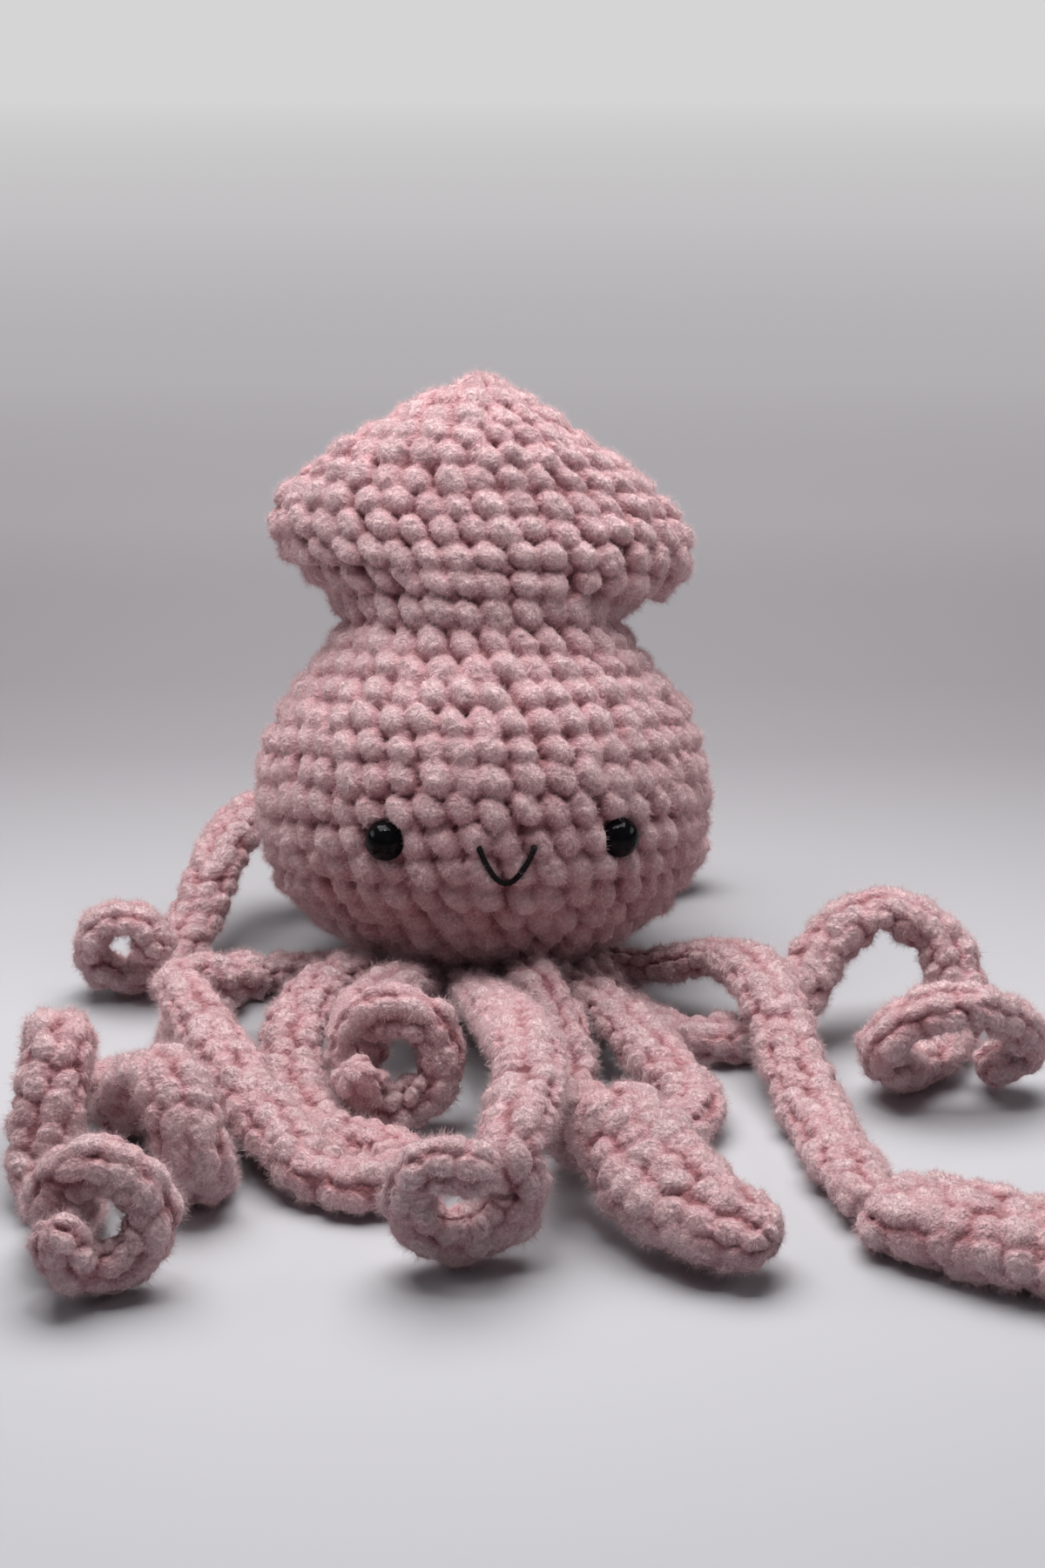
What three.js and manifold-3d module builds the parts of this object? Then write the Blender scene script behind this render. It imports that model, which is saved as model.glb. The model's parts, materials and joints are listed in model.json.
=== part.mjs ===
// Crocheted plush squid: a stuffed body worked in rounds, two safety eyes with washers,
// an embroidered mouth, eight curly arms and two long tentacles with clubs.
// Millimetres, +Z up. The face looks towards -Y, and the part sits on z = 0.
import * as THREE from 'three';
import { mergeVertices } from 'three/addons/utils/BufferGeometryUtils.js';
import Module from 'manifold-3d';

// Driving dimensions: body
const HEAD_WIDTH = 166.4;
const BODY_LENGTH = 235;
const BASE_SINK = 8;
const LEAN = 13.5;
const FIN_ROLL = 4.4;
const FABRIC = 9;
const LEVEL_FABRIC = 1.25 * FABRIC;
const TIP_FABRIC = 2.2 * FABRIC;
const GAP = 0.35;
const HINGE_GAP = 0.7;

// Driving dimensions: face, in degrees round the body's axis and millimetres up it
const FACE_TURN = 6.6;
const EYE_SPREAD = 30.1;
const EYE_HEIGHT = 71.3;
const EYE_DIAMETER = 14;
const EYE_DOME = 7.4;
const EYE_SUNK = 2.4;
const EYE_RIM = 0.6;
const EYE_BACK_SHARE = 0.94;
const SHANK_DIAMETER = 5;
const SHANK_LENGTH = 15;
const WASHER_DIAMETER = 17;
const WASHER_THICKNESS = 2.6;
const WASHER_BOSS_SHARE = 0.55;
const MOUTH_WIDTH = 18.6;
const MOUTH_DROP = 12;
const MOUTH_HEIGHT = 69.5;
const MOUTH_ROUNDNESS = 2;
const MOUTH_TAIL = 3.5;
const THREAD_DIAMETER = 1.8;

// Driving dimensions: the crocheted strips that the limbs are made of
const STRIP_WIDTH = 19.4;
const STRIP_THICKNESS = 13;
const ROOT_WIDTH = 12.8;
const CLUB_WIDTH = 32;
const CLUB_THICKNESS = 20;
const CLUB_NECK_WIDTH_SHARE = 0.8;
const CLUB_NECK_THICKNESS_SHARE = 0.92;
const CLUB_SWELL_START = 0.12;
const CLUB_SWELL_SPAN = 0.76;
const ROOT_SWELL = 30;
const ARM_TAPER = { reach: 130, wide: 0.76, thick: 0.9 };
const STALK_TAPER = { reach: 26, wide: 0.86, thick: 0.93 };

// The body's outline from the closed bottom round to the fin's tip:
// share of the body's length, half width as a share of the head's, depth as a share of the width
const OUTLINE = [
  [0, 0, 1], [0.017, 0.264, 1], [0.068, 0.469, 1], [0.119, 0.644, 1], [0.162, 0.793, 1],
  [0.217, 0.921, 1], [0.285, 0.989, 1], [0.353, 1, 1], [0.426, 0.965, 0.985], [0.494, 0.868, 0.97],
  [0.549, 0.745, 0.95], [0.617, 0.629, 0.93], [0.643, 0.661, 0.87], [0.677, 0.817, 0.69],
  [0.712, 0.907, 0.6], [0.757, 0.941, 0.53], [0.815, 0.838, 0.51], [0.862, 0.69, 0.53],
  [0.904, 0.505, 0.6], [0.945, 0.325, 0.63], [0.983, 0.12, 0.8], [1, 0, 1],
];
const NECK = 0.617;
const FIN_START = 0.68;
const FIN_EDGE = 0.35;
const BODY_SIDES = 30;
const BODY_RINGS = 26;
const CAVITY_SIDES = 24;
const CAVITY_RINGS = 16;
const CAVITY_END_POWER = 0.12;
const CAVITY_END_LEAST = 0.3;

// Facets of the limbs
const STRIP_SIDES = 8;
const STRIP_STEP = 10.4;
const POINTS_PER_TURN = 8;
const SAMPLES_PER_POINT = 24;
const SECTION_SQUARENESS = 0.8;
const END_RINGS = [25, 55];
const SELF_REACH = 2.6;

// The routes were laid out by hand for strips of this width, and grow with the strip.
// In the curls at the arms' ends the strip has tapered to the second width
const ROUTE_STRIP = 19.4;
const CURL_STRIP = 16.8;
const FLOOR_GAP = 1.2;
const spread = STRIP_WIDTH / ROUTE_STRIP;
const halfWidth = STRIP_WIDTH / 2;
const halfThickness = STRIP_THICKNESS / 2;
const lying = halfThickness / spread + FLOOR_GAP;

const wasm = await Module();
wasm.setup();

const YARN = { color: '#d2a4a9', roughness: 0.95, metalness: 0 };
const FIBREFILL = { color: '#f3f1ec', roughness: 1, metalness: 0 };
const BLACK_PLASTIC = { color: '#0b0b0c', roughness: 0.08, metalness: 0 };
const WHITE_PLASTIC = { color: '#e6e3dc', roughness: 0.4, metalness: 0 };
const BLACK_THREAD = { color: '#141315', roughness: 0.8, metalness: 0 };

const radians = THREE.MathUtils.degToRad;
const up = new THREE.Vector3(0, 0, 1);
const latheAxis = new THREE.Vector3(0, 1, 0);
const bodyAxis = new THREE.Vector3(0, Math.sin(radians(LEAN)), Math.cos(radians(LEAN)));
const bodySide = new THREE.Vector3(1, 0, 0);
const bodyBack = new THREE.Vector3().crossVectors(bodyAxis, bodySide);

// Solids

function toSolid(geometry) {
  const bare = geometry.clone();
  bare.deleteAttribute('normal');
  bare.deleteAttribute('uv');
  const merged = mergeVertices(bare, 1e-4);
  const mesh = new wasm.Mesh({
    numProp: 3,
    vertProperties: new Float32Array(merged.attributes.position.array),
    triVerts: new Uint32Array(merged.index.array),
  });
  return new wasm.Manifold(mesh);
}

function toGeometry(solid) {
  const mesh = solid.getMesh();
  const geometry = new THREE.BufferGeometry();
  geometry.setAttribute('position', new THREE.BufferAttribute(new Float32Array(mesh.vertProperties), 3));
  geometry.setIndex(new THREE.BufferAttribute(new Uint32Array(mesh.triVerts), 1));
  geometry.computeVertexNormals();
  return geometry;
}

// A closed skin over rings of equal count, with a point before the first and after the last
function loft(first, rings, last) {
  const sides = rings[0].length;
  const points = [first, ...rings.flat(), last];
  const faces = [];
  for (let side = 0; side < sides; side += 1) {
    const next = (side + 1) % sides;
    faces.push(0, 1 + next, 1 + side);
    for (let ring = 0; ring < rings.length - 1; ring += 1) {
      const low = 1 + ring * sides;
      const high = low + sides;
      faces.push(low + side, low + next, high + next);
      faces.push(low + side, high + next, high + side);
    }
    const top = 1 + (rings.length - 1) * sides;
    faces.push(points.length - 1, top + side, top + next);
  }
  const geometry = new THREE.BufferGeometry().setFromPoints(points);
  geometry.setIndex(faces);
  return geometry;
}

function boxBelow(height, reach = 400) {
  const box = new THREE.BoxGeometry(reach, reach, reach);
  box.translate(0, 0, height - reach / 2);
  return toSolid(box);
}

// Body

const outlineCurve = new THREE.CatmullRomCurve3(
  OUTLINE.map(([share, wide, deep]) => new THREE.Vector3(share, wide, wide * deep)),
  false,
  'centripetal',
);

function outlineAt(share) {
  let row = 1;
  while (row < OUTLINE.length - 1 && OUTLINE[row][0] < share) row += 1;
  const [low, wideLow, deepLow] = OUTLINE[row - 1];
  const [high, wideHigh, deepHigh] = OUTLINE[row];
  const blend = (share - low) / (high - low);
  const wide = THREE.MathUtils.lerp(wideLow, wideHigh, blend) * HEAD_WIDTH / 2;
  return { wide, deep: wide * THREE.MathUtils.lerp(deepLow, deepHigh, blend) };
}

// A point of the body: height along the axis from the bottom, and offsets to the side and to the back
function bodyPlace(height, side, back) {
  const finShare = THREE.MathUtils.smoothstep(height / BODY_LENGTH, NECK, FIN_START);
  const rolled = height - BASE_SINK - side * Math.tan(radians(FIN_ROLL)) * finShare;
  return new THREE.Vector3()
    .addScaledVector(bodyAxis, rolled)
    .addScaledVector(bodySide, side)
    .addScaledVector(bodyBack, back);
}

function bodyRing(height, wide, deep, sides) {
  const edge = 1 + FIN_EDGE * THREE.MathUtils.smoothstep(height / BODY_LENGTH, NECK, FIN_START);
  const ring = [];
  for (let side = 0; side < sides; side += 1) {
    const turn = 2 * Math.PI * side / sides;
    const back = Math.sign(Math.sin(turn)) * Math.abs(Math.sin(turn)) ** edge;
    ring.push(bodyPlace(height, wide * Math.cos(turn), deep * back));
  }
  return ring;
}

// The body's outer form, grown by an offset and cut flat where it sits
function bodyForm(offset = 0, floor = 0) {
  const rings = [];
  for (let ring = 1; ring < BODY_RINGS; ring += 1) {
    const { x: share, y: wide, z: deep } = outlineCurve.getPoint(ring / BODY_RINGS);
    const half = HEAD_WIDTH / 2;
    rings.push(bodyRing(share * BODY_LENGTH, wide * half + offset, deep * half + offset, BODY_SIDES));
  }
  const form = loft(bodyPlace(-offset, 0, 0), rings, bodyPlace(BODY_LENGTH + offset, 0, 0));
  return toSolid(form).subtract(boxBelow(floor));
}

// The hollow for the filling, one fabric's thickness inside the body and a clearance more
function bodyHollow(clearance) {
  const floor = FABRIC + clearance;
  const bottom = floor + BASE_SINK;
  const top = BODY_LENGTH - TIP_FABRIC - clearance;
  const inset = LEVEL_FABRIC + clearance;
  const rings = [];
  for (let ring = 1; ring < CAVITY_RINGS; ring += 1) {
    const share = ring / CAVITY_RINGS;
    const height = THREE.MathUtils.lerp(bottom, top, share);
    const { wide, deep } = outlineAt(height / BODY_LENGTH);
    const closed = Math.max(Math.sin(Math.PI * share) ** CAVITY_END_POWER, CAVITY_END_LEAST);
    rings.push(bodyRing(height, (wide - inset) * closed, (deep - inset) * closed, CAVITY_SIDES));
  }
  const form = loft(bodyPlace(bottom, 0, 0), rings, bodyPlace(top, 0, 0));
  return toSolid(form).subtract(boxBelow(floor));
}

function aboveNeck(offset, reach = 400) {
  const box = new THREE.BoxGeometry(reach, reach, reach);
  box.translate(0, 0, reach / 2 + NECK * BODY_LENGTH - BASE_SINK + offset);
  box.rotateX(-radians(LEAN));
  return toSolid(box);
}

// Surface of the head at an angle round the axis (0 is the side, 270 the front) and a height up it
function headSurface(azimuth, height) {
  const angle = radians(azimuth);
  const out = bodySide.clone().multiplyScalar(Math.cos(angle)).addScaledVector(bodyBack, Math.sin(angle));
  const step = BODY_LENGTH / 100;
  const { wide } = outlineAt(height / BODY_LENGTH);
  const above = outlineAt((height + step) / BODY_LENGTH).wide;
  const below = outlineAt((height - step) / BODY_LENGTH).wide;
  const slope = (above - below) / (2 * step);
  const point = bodyPlace(height, 0, 0).addScaledVector(out, wide);
  const normal = out.addScaledVector(bodyAxis, -slope).normalize();
  return { point, normal };
}

// Face

function placeOnFace(geometry, { point, normal }, depth) {
  const turn = new THREE.Quaternion().setFromUnitVectors(latheAxis, normal);
  geometry.applyQuaternion(turn);
  const seat = point.clone().addScaledVector(normal, -depth);
  return geometry.translate(seat.x, seat.y, seat.z);
}

function eyeProfile(clearance) {
  const radius = EYE_DIAMETER / 2 + clearance;
  const shank = SHANK_DIAMETER / 2 + clearance;
  const shankEnd = -SHANK_LENGTH - clearance;
  const profile = [
    new THREE.Vector2(0, shankEnd), new THREE.Vector2(shank, shankEnd),
    new THREE.Vector2(shank, -clearance), new THREE.Vector2(radius * EYE_BACK_SHARE, -clearance),
  ];
  const steps = 7;
  for (let step = 0; step <= steps; step += 1) {
    const angle = Math.PI / 2 * step / steps;
    const rim = step === steps ? 0 : radius * Math.cos(angle);
    profile.push(new THREE.Vector2(rim, EYE_RIM + (EYE_DOME - EYE_RIM + clearance) * Math.sin(angle)));
  }
  return profile;
}

function eyeSolid(seat, clearance) {
  const sides = 20;
  return toSolid(placeOnFace(new THREE.LatheGeometry(eyeProfile(clearance), sides), seat, EYE_SUNK));
}

const washerDepth = LEVEL_FABRIC + GAP;

function washerSolid(seat, clearance) {
  const sides = 24;
  const bore = SHANK_DIAMETER / 2 + GAP - clearance;
  const rim = WASHER_DIAMETER / 2 + clearance;
  const back = -WASHER_THICKNESS - clearance;
  const edge = -WASHER_THICKNESS / 2 - clearance;
  const profile = [
    new THREE.Vector2(bore, clearance), new THREE.Vector2(bore, back),
    new THREE.Vector2(rim * WASHER_BOSS_SHARE, back), new THREE.Vector2(rim, edge),
    new THREE.Vector2(rim, clearance), new THREE.Vector2(bore, clearance),
  ];
  return toSolid(placeOnFace(new THREE.LatheGeometry(profile, sides), seat, washerDepth));
}

function mouthSolid(clearance) {
  const centre = 270 + FACE_TURN;
  const steps = 12;
  const points = [];
  const tail = MOUTH_TAIL + clearance;
  for (let step = 0; step <= steps; step += 1) {
    const across = 2 * step / steps - 1;
    const drop = MOUTH_DROP * (1 - Math.abs(across) ** MOUTH_ROUNDNESS);
    const turn = centre + THREE.MathUtils.radToDeg(across * MOUTH_WIDTH / HEAD_WIDTH);
    const { point, normal } = headSurface(turn, MOUTH_HEIGHT - drop);
    if (step === 0) points.push(point.clone().addScaledVector(normal, -tail));
    points.push(point);
    if (step === steps) points.push(point.clone().addScaledVector(normal, -tail));
  }
  const path = new THREE.CatmullRomCurve3(points, false, 'centripetal');
  const section = new THREE.Shape().absarc(0, 0, THREAD_DIAMETER / 2 + clearance, 0, 2 * Math.PI);
  const settings = { extrudePath: path, steps: 22, curveSegments: 3 };
  return toSolid(new THREE.ExtrudeGeometry(section, settings));
}

// Limbs

// A point of a route, in the millimetres of the layout. The strip lies level there, or its width points along
// a stated heading and tilt
function point(x, y, z = lying, heading = null, tilt = 0) {
  const at = new THREE.Vector3(x, y, z).multiplyScalar(spread);
  if (heading === null) return { at };
  const level = new THREE.Vector3(Math.cos(radians(heading)), Math.sin(radians(heading)), 0);
  const across = level.multiplyScalar(Math.cos(radians(tilt))).addScaledVector(up, Math.sin(radians(tilt)));
  return { at, across };
}

// A helix of strip that rests on the floor: its axis starts at x, y and runs along the heading.
// Angles turn from the heading's left hand towards the top.
// A flat curl bends the strip over its broad face, and any other curl bends it edgeways
function curl({ x, y, heading, radius, endRadius = radius, pitch, start, turns, flat = false }) {
  const along = new THREE.Vector3(Math.cos(radians(heading)), Math.sin(radians(heading)), 0);
  const side = new THREE.Vector3(-along.y, along.x, 0);
  const reach = flat ? halfThickness / spread : CURL_STRIP / 2;
  const height = Math.max(radius, endRadius) + reach + FLOOR_GAP;
  const count = Math.round(Math.abs(turns) * POINTS_PER_TURN);
  const places = [];
  for (let index = 0; index <= count; index += 1) {
    const share = index / count;
    const angle = radians(start + 360 * turns * share);
    const out = side.clone().multiplyScalar(Math.cos(angle)).addScaledVector(up, Math.sin(angle));
    const at = new THREE.Vector3(x, y, height)
      .addScaledVector(along, pitch * Math.abs(turns) * share)
      .addScaledVector(out, THREE.MathUtils.lerp(radius, endRadius, share));
    places.push({ at: at.multiplyScalar(spread), across: flat ? along : out });
  }
  return places;
}

// Each limb: its root's angle round the body, the root's height up it, and the route that the limb lies along
const LIMBS = [
  {
    name: 'arm_front_left', azimuth: 246, height: 20,
    route: [
      point(-28, -66, 30), point(-40, -84, 28),
      curl({ x: -26, y: -102, heading: 270, radius: 14, endRadius: 13, pitch: 21, start: 190, turns: -1 }),
    ],
  },
  {
    name: 'arm_front_middle', azimuth: 265, height: 20,
    route: [
      point(0, -68, 26), point(8.5, -100, 33), point(14, -134, 42), point(17, -166, 41),
      curl({ x: -3, y: -196, heading: 270, radius: 16, endRadius: 12.5, pitch: 20, start: 30, turns: -0.88 }),
    ],
  },
  {
    name: 'arm_front_right', azimuth: 284, height: 20,
    route: [point(19, -63, 30), point(28, -80, 22), point(31, -97, 11), point(29, -112), point(26, -126)],
  },
  {
    name: 'tentacle_front', azimuth: 303, height: 20, club: 78,
    route: [
      point(44, -67, 22), point(57, -87, 15), point(67, -105, 10), point(69, -122), point(57, -135),
      curl({ x: 41, y: -143, heading: 270, radius: 10.5, pitch: 24, start: 270, turns: -0.5, flat: true }),
      point(48, -171, 22.5, 218, -28), point(58, -189, 17.5, 222, -24), point(70, -202, 15.5, 225, -20),
      point(81, -209, 14, 225, -14),
    ],
  },
  {
    name: 'arm_right', azimuth: 323, height: 22,
    route: [
      point(58, -54, 9), point(79, -64), point(97, -60, 8.5), point(110, -51, 17), point(123, -40, 33),
      point(142, -34, 43), point(161, -37, 35), point(168, -52, 18), point(159, -72, 9, 250),
      point(144, -87, 9.5, 265), point(135, -96, 19, 270), point(143, -100, 31, 270),
      point(161, -99, 36, 270), point(178, -96, 29, 270), point(184, -91, 17, 270),
      point(175, -89, 9.5, 270),
    ],
  },
  {
    name: 'tentacle_right', azimuth: 342, height: 22, club: 82,
    route: [
      point(66, -20, 17), point(87, -33, 25), point(99, -58, 25.5), point(105, -90, 14), point(110, -120),
      point(115, -152), point(120, -176), point(130, -192, 10), point(147, -202, 11.2),
      point(167, -213, 11.2), point(186, -223, 11.2),
    ],
  },
  {
    name: 'arm_rear_right', azimuth: 45, height: 34,
    route: [
      point(58, 78, 9),
      curl({
        x: 50, y: 106, heading: 330, radius: 15.5, endRadius: 13, pitch: 27, start: 270, turns: 1.2,
        flat: true,
      }),
    ],
  },
  {
    name: 'arm_rear_left', azimuth: 140, height: 34,
    route: [
      point(-62, 70, 14), point(-74, 80, 32), point(-91, 69, 44), point(-103, 42, 35), point(-111, 18, 17),
      point(-119, 2, 9),
      curl({ x: -131, y: -6, heading: 270, radius: 12, pitch: 15, start: 290, turns: -0.75, flat: true }),
    ],
  },
  {
    name: 'arm_left', azimuth: 196, height: 22,
    route: [
      point(-70, -6, 8), point(-92, -14), point(-102, -44), point(-98, -84), point(-91, -118),
      point(-88, -144), point(-85, -168, 9), point(-85, -175, 23, 10), point(-93, -163, 41, 25),
      point(-104, -147, 33, 28), point(-111, -132, 15), point(-114, -113, 8), point(-123, -101, 8),
      point(-134, -105, 9), point(-137, -117, 22, 170), point(-131, -135, 42, 170),
      point(-132, -152, 29, 170), point(-133, -164, 12, 170), point(-123, -178),
      curl({ x: -106, y: -204, heading: 275, radius: 13, endRadius: 12.2, pitch: 21, start: 185, turns: -1 }),
    ],
  },
  {
    name: 'arm_left_fore', azimuth: 218, height: 22,
    route: [
      point(-45, -48, 26), point(-56, -64, 27), point(-63, -90, 18), point(-58, -117, 9), point(-46, -138),
      point(-30, -147), point(-20, -157), point(-30, -168), point(-45, -164, 8), point(-61, -148, 14),
      point(-79, -122, 24), point(-97, -86, 31), point(-102, -66, 31), point(-82, -54, 28),
    ],
  },
];

// Centre of a limb's rounded root, seated just off the body
function rootOf({ azimuth, height }) {
  const { point: seat, normal } = headSurface(azimuth, height);
  return seat.addScaledVector(normal, halfThickness + GAP);
}

// The limb's centre line at even steps, with the direction along it and across the strip
function centreLine(limb) {
  const knots = [{ at: rootOf(limb) }, ...limb.route.flat()];
  const across = [];
  knots.forEach((knot, index) => {
    const before = knots[Math.max(index - 1, 0)].at;
    const after = knots[Math.min(index + 1, knots.length - 1)].at;
    const level = new THREE.Vector3().subVectors(after, before).cross(up).normalize();
    const wide = (knot.across ?? level).clone();
    if (index > 0 && wide.dot(across[index - 1]) < 0) wide.negate();
    across.push(wide);
  });
  const curve = new THREE.CatmullRomCurve3(knots.map((knot) => knot.at), false, 'centripetal');
  const samples = SAMPLES_PER_POINT * (knots.length - 1);
  const places = curve.getPoints(samples);
  const run = [0];
  for (let index = 1; index <= samples; index += 1) {
    run.push(run[index - 1] + places[index].distanceTo(places[index - 1]));
  }
  return { places, run, across, samples, length: run[samples] };
}

function stationAt(line, distance) {
  let index = 1;
  while (index < line.samples && line.run[index] < distance) index += 1;
  const blend = (distance - line.run[index - 1]) / (line.run[index] - line.run[index - 1]);
  const at = line.places[index - 1].clone().lerp(line.places[index], blend);
  const ahead = line.places[Math.min(index + 1, line.samples)];
  const behind = line.places[Math.max(index - 2, 0)];
  const along = new THREE.Vector3().subVectors(ahead, behind).normalize();
  const knot = (index - 1 + blend) / SAMPLES_PER_POINT;
  const first = Math.min(Math.floor(knot), line.across.length - 2);
  const across = line.across[first].clone().lerp(line.across[first + 1], knot - first);
  across.addScaledVector(along, -across.dot(along)).normalize();
  const through = new THREE.Vector3().crossVectors(along, across);
  return { at, along, across, through };
}

function stripRing({ at, along, across, through }, wide, thick, shift = 0) {
  const ring = [];
  for (let side = 0; side < STRIP_SIDES; side += 1) {
    const turn = 2 * Math.PI * (side + 0.5) / STRIP_SIDES;
    const x = Math.sign(Math.cos(turn)) * Math.abs(Math.cos(turn)) ** SECTION_SQUARENESS;
    const y = Math.sign(Math.sin(turn)) * Math.abs(Math.sin(turn)) ** SECTION_SQUARENESS;
    ring.push(at.clone().addScaledVector(along, shift)
      .addScaledVector(across, x * wide).addScaledVector(through, y * thick));
  }
  return ring;
}

// One closed strip along a stretch of a centre line, round at both ends
function strip(line, start, end, sizeAt) {
  const steps = Math.max(2, Math.round((end - start) / STRIP_STEP));
  const rings = [];
  const first = stationAt(line, start);
  const last = stationAt(line, end);
  const startSize = sizeAt(start);
  const endSize = sizeAt(end);
  END_RINGS.forEach((degrees) => {
    const grow = Math.sin(radians(degrees));
    const shift = -startSize.thick * Math.cos(radians(degrees));
    rings.push(stripRing(first, startSize.wide * grow, startSize.thick * grow, shift));
  });
  for (let step = 0; step <= steps; step += 1) {
    const distance = THREE.MathUtils.lerp(start, end, step / steps);
    const { wide, thick } = sizeAt(distance);
    rings.push(stripRing(stationAt(line, distance), wide, thick));
  }
  [...END_RINGS].reverse().forEach((degrees) => {
    const grow = Math.sin(radians(degrees));
    const shift = endSize.thick * Math.cos(radians(degrees));
    rings.push(stripRing(last, endSize.wide * grow, endSize.thick * grow, shift));
  });
  const rootPoint = first.at.clone().addScaledVector(first.along, -startSize.thick);
  const tipPoint = last.at.clone().addScaledVector(last.along, endSize.thick);
  return loft(rootPoint, rings, tipPoint);
}

// The least gap of a strip to itself, on points of its rings that lie well apart along it
function leastSelfGap(geometry) {
  const position = geometry.attributes.position;
  const apart = Math.ceil(SELF_REACH * STRIP_WIDTH / STRIP_STEP);
  const rings = (position.count - 2) / STRIP_SIDES;
  const a = new THREE.Vector3();
  const b = new THREE.Vector3();
  let least = Infinity;
  for (let one = 0; one < rings; one += 1) {
    for (let two = one + apart; two < rings; two += 1) {
      for (let side = 0; side < STRIP_SIDES * STRIP_SIDES; side += 1) {
        a.fromBufferAttribute(position, 1 + one * STRIP_SIDES + side % STRIP_SIDES);
        b.fromBufferAttribute(position, 1 + two * STRIP_SIDES + Math.floor(side / STRIP_SIDES));
        least = Math.min(least, a.distanceTo(b));
      }
    }
  }
  return least;
}

// Half sizes of an arm or stalk, which swells from its root and tapers to its end
function armSize(length, taper, distance) {
  const root = THREE.MathUtils.smoothstep(distance, 0, ROOT_SWELL);
  const tip = THREE.MathUtils.smoothstep(length - distance, 0, taper.reach);
  const wide = THREE.MathUtils.lerp(ROOT_WIDTH, STRIP_WIDTH, root) / 2;
  return {
    wide: wide * THREE.MathUtils.lerp(taper.wide, 1, tip),
    thick: halfThickness * THREE.MathUtils.lerp(taper.thick, 1, tip),
  };
}

function grown({ wide, thick }) {
  return { wide: wide + HINGE_GAP, thick: thick + HINGE_GAP };
}

function clubSize(length, club, distance) {
  const share = (distance - length + club) / club;
  const swell = Math.sin(Math.PI * THREE.MathUtils.clamp(CLUB_SWELL_START + CLUB_SWELL_SPAN * share, 0, 1));
  return {
    wide: THREE.MathUtils.lerp(halfWidth * CLUB_NECK_WIDTH_SHARE, CLUB_WIDTH / 2, swell),
    thick: THREE.MathUtils.lerp(halfThickness * CLUB_NECK_THICKNESS_SHARE, CLUB_THICKNESS / 2, swell),
  };
}

// Assembly

const squid = new THREE.Group();

function addPart(name, geometry, look) {
  const mesh = new THREE.Mesh(geometry, new THREE.MeshStandardMaterial(look));
  mesh.name = name;
  squid.add(mesh);
  return mesh;
}

const eyeSeats = {
  left: headSurface(270 + FACE_TURN - EYE_SPREAD, EYE_HEIGHT),
  right: headSurface(270 + FACE_TURN + EYE_SPREAD, EYE_HEIGHT),
};

let skin = bodyForm().subtract(bodyHollow(0)).subtract(mouthSolid(GAP));
let filling = bodyHollow(GAP);
for (const [side, seat] of Object.entries(eyeSeats)) {
  const eye = eyeSolid(seat, 0);
  addPart(`eye_${side}`, toGeometry(eye), BLACK_PLASTIC);
  addPart(`eye_washer_${side}`, toGeometry(washerSolid(seat, 0)), WHITE_PLASTIC);
  const eyeRoom = eyeSolid(seat, GAP);
  const washerRoom = washerSolid(seat, GAP);
  skin = skin.subtract(eyeRoom).subtract(washerRoom);
  filling = filling.subtract(eyeRoom).subtract(washerRoom);
}
addPart('body_skin', toGeometry(skin), YARN);
addPart('head_filling', toGeometry(filling.subtract(aboveNeck(-GAP / 2))), FIBREFILL);
addPart('mantle_filling', toGeometry(filling.intersect(aboveNeck(GAP / 2))), FIBREFILL);
addPart('mouth_thread', toGeometry(mouthSolid(0)), BLACK_THREAD);

const bodyRoom = bodyForm(GAP, -BASE_SINK);
for (const limb of LIMBS) {
  const line = centreLine(limb);
  const stalkEnd = limb.club ? line.length - limb.club : line.length;
  const stalkSize = (distance) => armSize(stalkEnd, limb.club ? STALK_TAPER : ARM_TAPER, distance);
  const form = strip(line, 0, stalkEnd, stalkSize);
  const selfGap = leastSelfGap(form).toFixed(1);
  console.log(`${limb.name}: ${Math.round(line.length)} mm long, least gap to itself ${selfGap} mm`);
  const mesh = addPart(limb.name, toGeometry(toSolid(form).subtract(bodyRoom)), YARN);
  mesh.userData.hinge = stationAt(line, 0);
  if (limb.club) {
    const sizeAt = (distance) => clubSize(line.length, limb.club, distance);
    const seat = stalkSize(stalkEnd).thick + HINGE_GAP;
    const clubForm = strip(line, stalkEnd + seat + sizeAt(stalkEnd).thick, line.length, sizeAt);
    const stalkRoom = strip(line, 0, stalkEnd, (distance) => grown(stalkSize(distance)));
    const clubSolid = toSolid(clubForm).subtract(toSolid(stalkRoom));
    const club = addPart(`${limb.name}_club`, toGeometry(clubSolid), YARN);
    club.userData.hinge = stationAt(line, stalkEnd);
  }
}

export default squid;
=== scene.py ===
"""Looks of the crocheted plush squid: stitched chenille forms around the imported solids.

Sizes are in millimetres, as in the solids' source, and become metres when a mesh is made.
"""
import json
import math

import bpy
import numpy as np
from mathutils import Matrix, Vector, noise

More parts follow.
